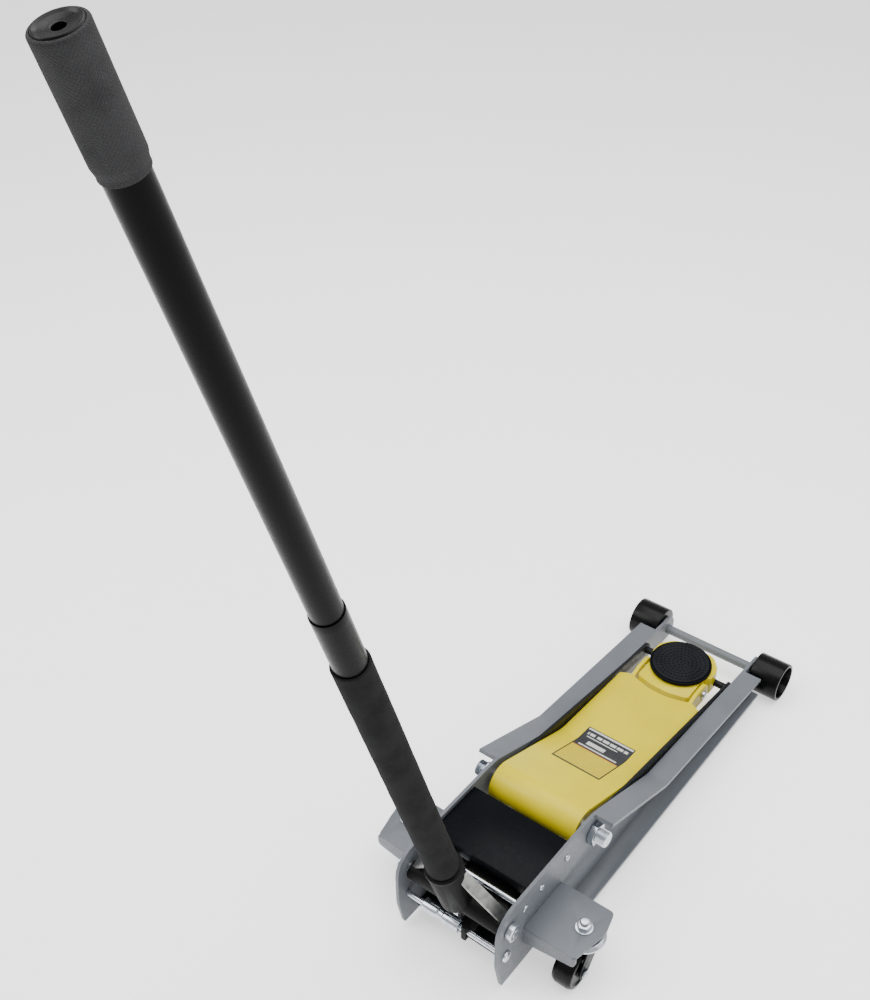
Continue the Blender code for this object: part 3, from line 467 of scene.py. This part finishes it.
def barLook(node, axisPlace, radius, material, chamfer=1.0, span=None):
    low, high = span or sized(node, 1)
    section = [(0, high), (radius, high, chamfer), (radius, low, chamfer), (0, low)]
    forNode(spun(section, axisPlace @ alongY, 64), node, material)


barLook("front_axle", at(jointAt("front_wheel_left_roll")), 8, greyEnamel, 0.8)
shaftEnd = sized("arm_pivot_shaft", 1)[1]
barLook("arm_pivot_shaft", at(jointAt("arm_lift")), 12, zincPlate, 0.3, (20 - shaftEnd, shaftEnd - 20))
barLook("yoke_pin", at(jointAt("saddle_level")), 7, zincPlate, 0.8)
linkLow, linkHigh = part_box("link_pin")
barLook("link_pin", at((Vector(linkLow) + Vector(linkHigh)) / 2), 6, rodEnamel, 0.8)


bolts = dict(chamfer=0.9, threadPitch=1.25, threadDepth=0.55)


def hexPiece(name, radius, low, high, place, material, body, nodes=(), turn=0.0):
    shape = bmesh.new()
    bmesh.ops.create_cone(
        shape, cap_ends=True, segments=6, radius1=radius * mm, radius2=radius * mm, depth=(high - low) * mm
    )
    rims = [edge for edge in shape.edges if abs(edge.verts[0].co.z - edge.verts[1].co.z) < 1e-6]
    bmesh.ops.bevel(
        shape, geom=rims, offset=bolts["chamfer"] * mm, offset_type="OFFSET", segments=2, profile=0.5,
        affect="EDGES", material=-1,
    )
    ribs = [edge for edge in shape.edges if edge.calc_face_angle(0) > radians(50)]
    bmesh.ops.bevel(
        shape, geom=ribs, offset=0.35 * mm, offset_type="OFFSET", segments=2, profile=0.5, affect="EDGES", material=-1
    )
    shape.transform(place @ Matrix.Translation((0, 0, (low + high) / 2 * mm)) @ Matrix.Rotation(turn, 4, "Z"))
    return finishPiece(shape, name, material, body, nodes, 25)


def threadedEnd(name, radius, low, high, place, body):
    # the bolt end past its nut: rounded tip and a thread drawn as closed ridges
    count = max(1, int((high - low - 1.2) / bolts["threadPitch"]))
    section = [(0, high), (radius - 1.2, high, 0.3)]
    top = high - 1.0
    for k in range(count):
        section.append((radius, top - (k + 0.25) * bolts["threadPitch"]))
        section.append((radius - bolts["threadDepth"], top - (k + 0.75) * bolts["threadPitch"]))
    section += [(radius - bolts["threadDepth"], low), (0, low)]
    return finishPiece(spun(section, place, 40), name, zincPlate, body, (), 20)


def washer(name, inner, outer, low, high, place, body):
    section = [(inner, high), (outer, high, 0.35), (outer, low, 0.35), (inner, low)]
    return finishPiece(spun(section, place, 56), name, zincPlate, body)


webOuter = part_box("handle_pivot_bolt_left")[1][1] / mm - 10.0  # outer face of the plates' webs
drawnWeb = 86  # where that face stands in the bolt and screw sections below


def fromWeb(section):
    return [(radius, height + webOuter - drawnWeb) for radius, height in section]


for word, side in sides:
    pivot = at(jointAt("arm_lift")) @ facingOut[side]
    hexPiece(
        f"pivotNut_{word}", 18, webOuter + 0.3, webOuter + 11, pivot, zincPlate, "chassis",
        (f"pivot_nut_{word}",), 0.2,
    )
    threadedEnd(f"pivotThread_{word}", 12, shaftEnd - 20, shaftEnd, pivot, "chassis")
    stem = Matrix.Translation((jointAt(f"caster_{word}_swivel").x, jointAt(f"caster_{word}_swivel").y, 0))
    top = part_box(f"caster_bracket_{word}")[1][2] / mm
    washer(f"casterWasher_{word}", 6.3, 12.5, top + 0.05, top + 1.6, stem, f"caster_swivel_{word}")
    low = top - 15.0
    section = [
        (12.4, low + 6.8), (27.1, low + 6.8, 1.5), (31.6, low + 3.0, 1.2), (31.6, low + 0.4, 0.6), (29.5, low + 0.2),
        (29.5, low + 2.8), (26.5, low + 5.8), (12.4, low + 5.8),
    ]
    finishPiece(spun(section, stem, 88), f"casterRace_{word}", zincPlate, f"caster_swivel_{word}")
    hexPiece(
        f"casterNut_{word}", 10.5, top + 1.6, top + 9, stem, zincPlate, f"caster_swivel_{word}",
        (f"caster_nut_{word}",), 0.3,
    )
    threadedEnd(f"casterThread_{word}", 6.2, top + 8, top + 13.8, stem, f"caster_swivel_{word}")
    rod = at(jointAt(f"radius_rod_{word}_swing"))
    hexPiece(
        f"rodBoltHead_{word}", 9.5, webOuter + 0.3, webOuter + 7, rod @ facingOut[side], zincPlate, "chassis",
        (), 0.5,
    )
    frame["nodes"][f"radius_rod_bolt_{word}"].material_slots[0].material = zincPlate
    boltAt = at(handlePivot) @ facingOut[side]
    section = [(0, 96), (5, 96), (5.6, 95.2), (10, 95.6), (12.6, 94.6), (13, 87.3), (8, 86.3), (8, 60), (0, 60)]
    forNode(spun(fromWeb(section), boltAt, 56), f"handle_pivot_bolt_{word}", zincPlate)
    clip = at(jointAt("front_wheel_left_roll"))
    low, high = sized(f"axle_clip_{word}", 1)
    section = [(8.3, high), (12.5, high, 0.5), (12.5, low, 0.5), (8.3, low)]
    forNode(spun(section, clip @ alongY, 56), f"axle_clip_{word}", zincPlate)
    axle = Matrix.Translation(jointAt(f"caster_{word}_roll")) @ facingOut[side]
    half = (sized(f"caster_axle_{word}", 1)[1] - sized(f"caster_axle_{word}", 1)[0]) / 2
    section = [(0, half), (2.6, half), (4, half - 1.2, 0.4), (4, 0.6 - half, 0.5), (0, 0.6 - half)]
    forNode(spun(section, axle, 40), f"caster_axle_{word}", zincPlate)
    hexPiece(
        f"axleHead_{word}", 7.4, half - 4.4, half - 0.8, axle, zincPlate, f"caster_swivel_{word}", (), 0.3
    )


def coverScrew(name, x, z, side, nodes):
    place = Matrix.Translation((x, 0, z)) @ facingOut[side]
    section = [
        (0, 89.2), (1.2, 89.2), (1.6, 88.4), (3.4, 88.9), (4.8, 87.6), (5, 86.3), (2.4, 86.2), (2.4, 75), (0, 75),
    ]
    finishPiece(spun(fromWeb(section), place, 40), name, zincPlate, "chassis", nodes)


for word, side in sides:
    for n in (1, 2):
        low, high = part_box(f"cover_screw_{word}_{n}")
        spot = ((low[0] + high[0]) / 2, (low[2] + high[2]) / 2)
        coverScrew(f"coverScrew_{word}_{n}", *spot, side, (f"cover_screw_{word}_{n}",))
print("fasteners made")


saddle = dict(ringStep=6.6, bumpSpacing=6.2, bumpRadius=1.9, bumpTop=1.2, bumpHeight=1.7, rings=6)


def saddleLook():
    centre = jointAt("saddle_turn")
    place = Matrix.Translation((centre.x, centre.y, 0))
    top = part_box("saddle_pad")[1][2] / mm
    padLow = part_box("saddle_pad")[0][2] / mm
    cupLow, cupHigh = sized("saddle_cup", 2)
    radius = (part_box("saddle_cup")[1][0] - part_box("saddle_cup")[0][0]) / mm / 2
    cup = [
        (0, padLow - 0.3), (radius - 4, padLow - 0.3, 0.6), (radius - 3.6, cupHigh, 0.8), (radius, cupHigh, 1.6),
        (radius, cupHigh - 4.6, 1.2), (radius - 3.5, cupLow + 13.5, 1.2), (14, cupLow + 13.5), (9, cupLow + 12.5),
        (9, cupLow), (0, cupLow),
    ]
    forNode(spun(cup, place, 112), "saddle_cup", blackEnamel)
    base = top - saddle["bumpHeight"]
    pad = [
        (0, base), (43.5, base, 0.6), (44.3, base + 1.1, 0.5), (46.6, base + 0.9, 0.8), (46.6, padLow), (0, padLow),
    ]
    shape = spun(pad, place, 112)
    for ring in range(saddle["rings"] + 1):
        distance = ring * saddle["ringStep"]
        count = max(1, round(2 * pi * distance / saddle["bumpSpacing"]))
        for k in range(count):
            turn = 2 * pi * (k + 0.5 * (ring % 2)) / count
            spot = Matrix.Translation((distance * cos(turn) * mm, distance * sin(turn) * mm, (base + 0.75) * mm))
            bmesh.ops.create_cone(
                shape, cap_ends=True, segments=10, radius1=saddle["bumpRadius"] * mm, radius2=saddle["bumpTop"] * mm,
                depth=(saddle["bumpHeight"] - 0.1) * mm, matrix=place @ spot @ Matrix.Rotation(turn, 4, "Z"),
            )
    forNode(shape, "saddle_pad", mouldedRubber, sharp=24)


saddleLook()
print("saddle made")


# inner and outer radii in mm, and how far the foams stray from round
handle = dict(
    lower=(17.9, 19.1), upper=(15.6, 17.6), foam=(19.4, 22.0), grip=(17.9, 20.6), foamWave=0.35, gripWave=0.12,
)


def alongHandle(node):
    # a node's lowest and highest place along the handle's axis, in mm from the pivot
    places = [(vert.co - handlePivot).dot(handleAxis) for vert in frame["nodes"][node].data.vertices]
    return min(places) / mm, max(places) / mm


def tubeLook(node, radii, material):
    inner, outer = radii
    low, high = alongHandle(node)
    section = [(inner, high), (outer, high, 0.5), (outer, low, 0.5), (inner, low)]
    shape = spun(section, handleFrame, 96, fine=12)
    forNode(shape, node, material)


seat = alongHandle("upper_handle_tube")[1]
tubeLook("lower_handle_tube", handle["lower"], tubeEnamel)
tubeLook("upper_handle_tube", handle["upper"], tubeEnamel)
low, high = alongHandle("foam_sleeve")
inner, outer = handle["foam"]
section = [(inner, high), (outer, high, 1.6), (outer, low, 1.6), (inner, low)]
forNode(spun(section, handleFrame, 96, handle["foamWave"], 3.0), "foam_sleeve", foamSkin)
low, high = alongHandle("hand_grip")
inner, outer = handle["grip"]
section = [
    (inner, high), (outer, high, 2.2), (outer, low + 12, 6), (19.1, low + 5, 3), (19.3, low, 1.2), (inner, low),
]
forNode(spun(section, handleFrame, 112, handle["gripWave"], 2.0), "hand_grip", gripFoam)
capHigh = alongHandle("handle_end_cap")[1]
section = [
    (5, capHigh - 3, 0.5), (8, capHigh - 2.7, 0.6), (13.5, capHigh - 1.6, 3), (16.4, capHigh - 0.1, 0.8),
    (17.6, capHigh - 1.6, 0.4), (17.6, seat + 0.3), (15.2, seat + 0.3), (15.2, seat - 22), (12.5, seat - 22),
    (12.5, capHigh - 8), (5, capHigh - 8),
]
forNode(spun(section, handleFrame, 96), "handle_end_cap", mouldedNylon)
buttonPlace = jointAt("handle_pump") + handleAxis * (
    ((Vector(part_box("snap_button")[0]) + Vector(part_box("snap_button")[1])) / 2 - handlePivot).dot(handleAxis)
)
low, high = sized("snap_button", 1)
section = [(0, high), (2.2, high - 0.35), (3.4, high - 1.3), (4, high - 2.8), (4, low, 0.5), (0, low)]
forNode(spun(section, at(buttonPlace) @ alongY, 40), "snap_button", zincPlate)
print("handle made")


brace = dict(reach=83.8, near=-1.3, far=16.3, half=2.9, slope=52.0, start=(20.0, 77.6))
for word, side in sides:
    shape = bmesh.new()
    bmesh.ops.create_cube(shape, size=1.0)
    width = brace["far"] - brace["near"]
    scale = Matrix.Diagonal((width * mm, (brace["reach"] + 0.6) * mm, 2 * brace["half"] * mm, 1))
    middle = Matrix.Translation(((brace["far"] + brace["near"]) / 2 * mm, side * brace["reach"] / 2 * mm, 0))
    lean = Matrix.Rotation(-side * radians(brace["slope"]), 4, "X")
    start = Matrix.Translation((0, side * brace["start"][0] * mm, brace["start"][1] * mm))
    shape.transform(handleFrame @ start @ lean @ middle @ scale)
    bmesh.ops.bevel(
        shape, geom=shape.edges[:], offset=0.9 * mm, offset_type="OFFSET", segments=3, profile=0.5,
        affect="EDGES", material=-1,
    )
    finishPiece(shape, f"socketBrace_{word}", rolledSteel, "socket")
top = alongHandle("handle_socket")[1]
section = [(24.2, top - 0.2), (25.6, top - 0.6, 0.5), (25.9, top - 5, 0.6), (24.2, top - 5.4)]
finishPiece(spun(section, handleFrame, 88), "socketCollar", castIron, "socket")


def alongX(node, place, section, material, steps=72):
    turn = Matrix.Rotation(radians(90), 4, "Y")
    forNode(spun(section, Matrix.Translation(place) @ turn, steps), node, material)


def headedRod(node, radius, head, thick):
    # a through rod with a domed head at each end
    low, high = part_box(node)
    place = at((Vector(low) + Vector(high)) / 2) @ alongY
    half = high[1] / mm
    end = [
        (0, half), (head * 0.55, half), (head * 0.9, half - thick * 0.28, 0.8), (head, half - thick * 0.7),
        (head, half - thick, 0.2), (radius, half - thick),
    ]
    forNode(spun(end + [(r, -h, *rest) for r, h, *rest in end[::-1]], place, 48), node, zincPlate)
    return place


def unitLook():
    low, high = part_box("reservoir_shell")
    centre = Vector((0, 0, (low[2] + high[2]) / 2))
    outer = (high[2] - low[2]) / mm / 2
    alongX(
        "reservoir_shell", centre,
        [(outer - 4, high[0] / mm), (outer, high[0] / mm, 1), (outer, low[0] / mm, 1), (outer - 4, low[0] / mm)],
        blackEnamel,
    )
    for node, material in (("ram", hardChrome), ("pump_plunger", hardChrome), ("cylinder_tube", rolledSteel)):
        frame["nodes"][node].material_slots[0].material = material
    frame["nodes"]["cylinder_gland"].material_slots[0].material = castIron
    for node in ("crosshead_pin", "pump_roller", "filler_plug"):
        frame["nodes"][node].material_slots[0].material = zincPlate
    tie = headedRod("rear_tie_rod", 4.5, 8.5, 4.7)
    headedRod("rear_cross_rod", 4.0, 5.4, 2.7)
    low, high = sized("release_sleeve", 1)
    sleeve = [
        (4.8, high), (9.5, high, 0.8), (9.5, high - 24, 0.6), (7.4, high - 26.5, 0.5), (7.4, high - 33, 0.5),
        (9.5, high - 35.5, 0.6), (9.5, low, 0.8), (4.8, low),
    ]
    forNode(spun(sleeve, tie, 72), "release_sleeve", zincPlate)


unitLook()
springLook = dict(turns=4.0, wire=1.1, radius=9.6, perTurn=28)


def coilPiece(name, start, end, look, body, material, nodes):
    curve = bpy.data.curves.new(name, "CURVE")
    curve.dimensions = "3D"
    curve.bevel_depth = look["wire"] * mm
    curve.bevel_resolution = 3
    curve.use_fill_caps = True
    count = int(look["turns"] * look["perTurn"])
    spline = curve.splines.new("POLY")
    spline.points.add(count)
    for k, point in enumerate(spline.points):
        turn = 2 * pi * k / look["perTurn"]
        spot = start.lerp(end, k / count)
        spot = spot + Vector((0, cos(turn), sin(turn))) * look["radius"] * mm
        point.co = (*spot, 1)
    drawn = bpy.data.objects.new(name + "Path", curve)
    bpy.context.scene.collection.objects.link(drawn)
    shape = bmesh.new()
    shape.from_mesh(bpy.data.meshes.new_from_object(drawn.evaluated_get(bpy.context.evaluated_depsgraph_get())))
    bpy.data.objects.remove(drawn)
    return finishPiece(shape, name, material, body, nodes)


low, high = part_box("pump_spring")
wire = springLook["wire"] * mm
axisZ = (low[2] + high[2]) / 2
spring = coilPiece(
    "pumpSpringLook", Vector((low[0] + wire, 0, axisZ)), Vector((high[0] - wire, 0, axisZ)), springLook,
    "chassis", zincPlate, ("pump_spring",),
)
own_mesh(spring)
print("hydraulic unit made")


# front and rear edges in mm from the arm's pivot, and the bars' limits along and across as shares
label = dict(
    front=197.0, rear=87.0, half=42.0, film=0.2, lift=0.25, across=40, along=60,
    border=(0.022, 0.975, 0.965), edgeBar=0.05, heading=(0.1, 0.15, 0.84), band=0.46, stripe=0.485,
    bars=((0.18, 0.2, -0.5, 0.8), (0.26, 0.35, -0.15, 0.62), (0.4, 0.43, -0.8, 0.8)),
)


def labelInk(u, v):
    # u runs from the front edge to the rear, v across; plain bars stand where print would be
    front, rear, across = label["border"]
    if u < front or u > rear or abs(v) > across:
        return "dark"
    if u < label["edgeBar"]:
        return "light"
    start, end, across = label["heading"]
    if start < u < end and abs(v) < across and int((v + 1) * 17) % 5:
        return "light"
    if any(start < u < end and near < v < far for start, end, near, far in label["bars"]):
        return "light"
    if u < label["band"]:
        return "dark"
    return "red" if u < label["stripe"] else "pale"


def surfaceOf(node):
    # a search tree of a node's own mesh, to lay things on it
    arm = bmesh.new()
    arm.from_mesh(frame["nodes"][node].data)
    tree = BVHTree.FromBMesh(arm)
    arm.free()
    return tree


def labelLook():
    shape = bmesh.new()
    arm = surfaceOf("lift_arm")
    count, across = label["along"], label["across"]
    bmesh.ops.create_grid(shape, x_segments=count, y_segments=across, size=1.0)
    pivotX = jointAt("arm_lift").x
    for vert in shape.verts:
        u, v = (1 - vert.co.x) / 2, vert.co.y
        x = pivotX + (label["front"] + (label["rear"] - label["front"]) * u) * mm
        armTop = arm.ray_cast(Vector((x, 0, 0.5)), Vector((0, 0, -1)))[0].z
        vert.co = (x, v * label["half"] * mm, armTop + label["lift"] * mm)
    names = list(inks)
    frontEdge = pivotX + label["front"] * mm
    length = (label["front"] - label["rear"]) * mm
    for face in shape.faces:
        middle = face.calc_center_median()
        u = (frontEdge - middle.x) / length
        face.material_index = names.index(labelInk(u, middle.y / (label["half"] * mm)))
    mesh = bpy.data.meshes.new("armLabel")
    shape.to_mesh(mesh)
    shape.free()
    for ink in inks.values():
        mesh.materials.append(ink)
    mesh.shade_smooth()
    piece = bpy.data.objects.new("armLabel", mesh)
    bpy.context.scene.collection.objects.link(piece)
    thick = piece.modifiers.new("film", "SOLIDIFY")
    thick.thickness = label["film"] * mm
    thick.offset = -1
    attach(piece, "arm")


labelLook()
print("label made")


studio = dict(floor="FAFAFA", glow=0.9, world="FFFFFF", worldPower=0.75, key=45.0, fill=14.0, top=120.0)


def floorLook():
    shape = bmesh.new()
    bmesh.ops.create_grid(shape, x_segments=1, y_segments=1, size=9.0)
    mesh = bpy.data.meshes.new("studioFloor")
    shape.to_mesh(mesh)
    shape.free()
    material, tree, shader = newMaterial(
        "paperSweep", Roughness=0.9, Specular_IOR_Level=0.1, Emission_Strength=studio["glow"]
    )
    coords = addNode(tree, "TexCoord").outputs["Object"]
    base = linear(studio["floor"])
    cloud = addNode(tree, "TexNoise", [(coords, "Vector")], {"Scale": 2.5, "Detail": 2.0})
    tone = [(0.3, [c * 0.985 for c in base[:3]] + [1.0]), (0.7, base)]
    shade = addNode(tree, "ValToRGB", [(cloud.outputs["Fac"], "Fac")], stops=tone)
    tree.links.new(shade.outputs["Color"], shader.inputs["Base Color"])
    tree.links.new(shade.outputs["Color"], shader.inputs["Emission Color"])
    mesh.materials.append(material)
    floor = bpy.data.objects.new("studioFloor", mesh)
    bpy.context.scene.collection.objects.link(floor)


def areaLight(name, place, target, size, power):
    light = bpy.data.lights.new(name, "AREA")
    light.shape = "RECTANGLE"
    light.size, light.size_y = size
    light.energy = power
    lamp = bpy.data.objects.new(name, light)
    lamp.location = place
    lamp.rotation_euler = (Vector(target) - Vector(place)).to_track_quat("-Z", "Y").to_euler()
    bpy.context.scene.collection.objects.link(lamp)


def studioLight():
    world = bpy.data.worlds.new("studioWorld")
    world.use_nodes = True
    back = world.node_tree.nodes["Background"]
    back.inputs["Color"].default_value = linear(studio["world"])
    back.inputs["Strength"].default_value = studio["worldPower"]
    bpy.context.scene.world = world
    areaLight("keyLight", (-1.6, 1.8, 2.6), (0, 0, 0.2), (1.6, 1.6), studio["key"])
    areaLight("fillLight", (1.2, -2.2, 1.8), (0, 0, 0.2), (2.0, 1.6), studio["fill"])
    areaLight("topLight", (0.3, 0.0, 3.0), (0, 0, 0), (3.0, 3.0), studio["top"])


view = dict(
    lens=47.28, sensor=36.0, shift=(-0.023, -0.0124), reach=60.0,
    place=(-1.0404, -0.6629, 1.5982), forward=(0.64142, 0.48814, -0.59185),
)


def camera():
    data = bpy.data.cameras.new("viewCamera")
    data.lens = view["lens"]
    data.sensor_width = view["sensor"]
    data.shift_x, data.shift_y = view["shift"]
    data.clip_end = view["reach"]
    eye = bpy.data.objects.new("viewCamera", data)
    eye.location = view["place"]
    eye.rotation_euler = Vector(view["forward"]).to_track_quat("-Z", "Y").to_euler()
    bpy.context.scene.collection.objects.link(eye)
    bpy.context.scene.camera = eye


floorLook()
studioLight()
camera()
print("stage set")
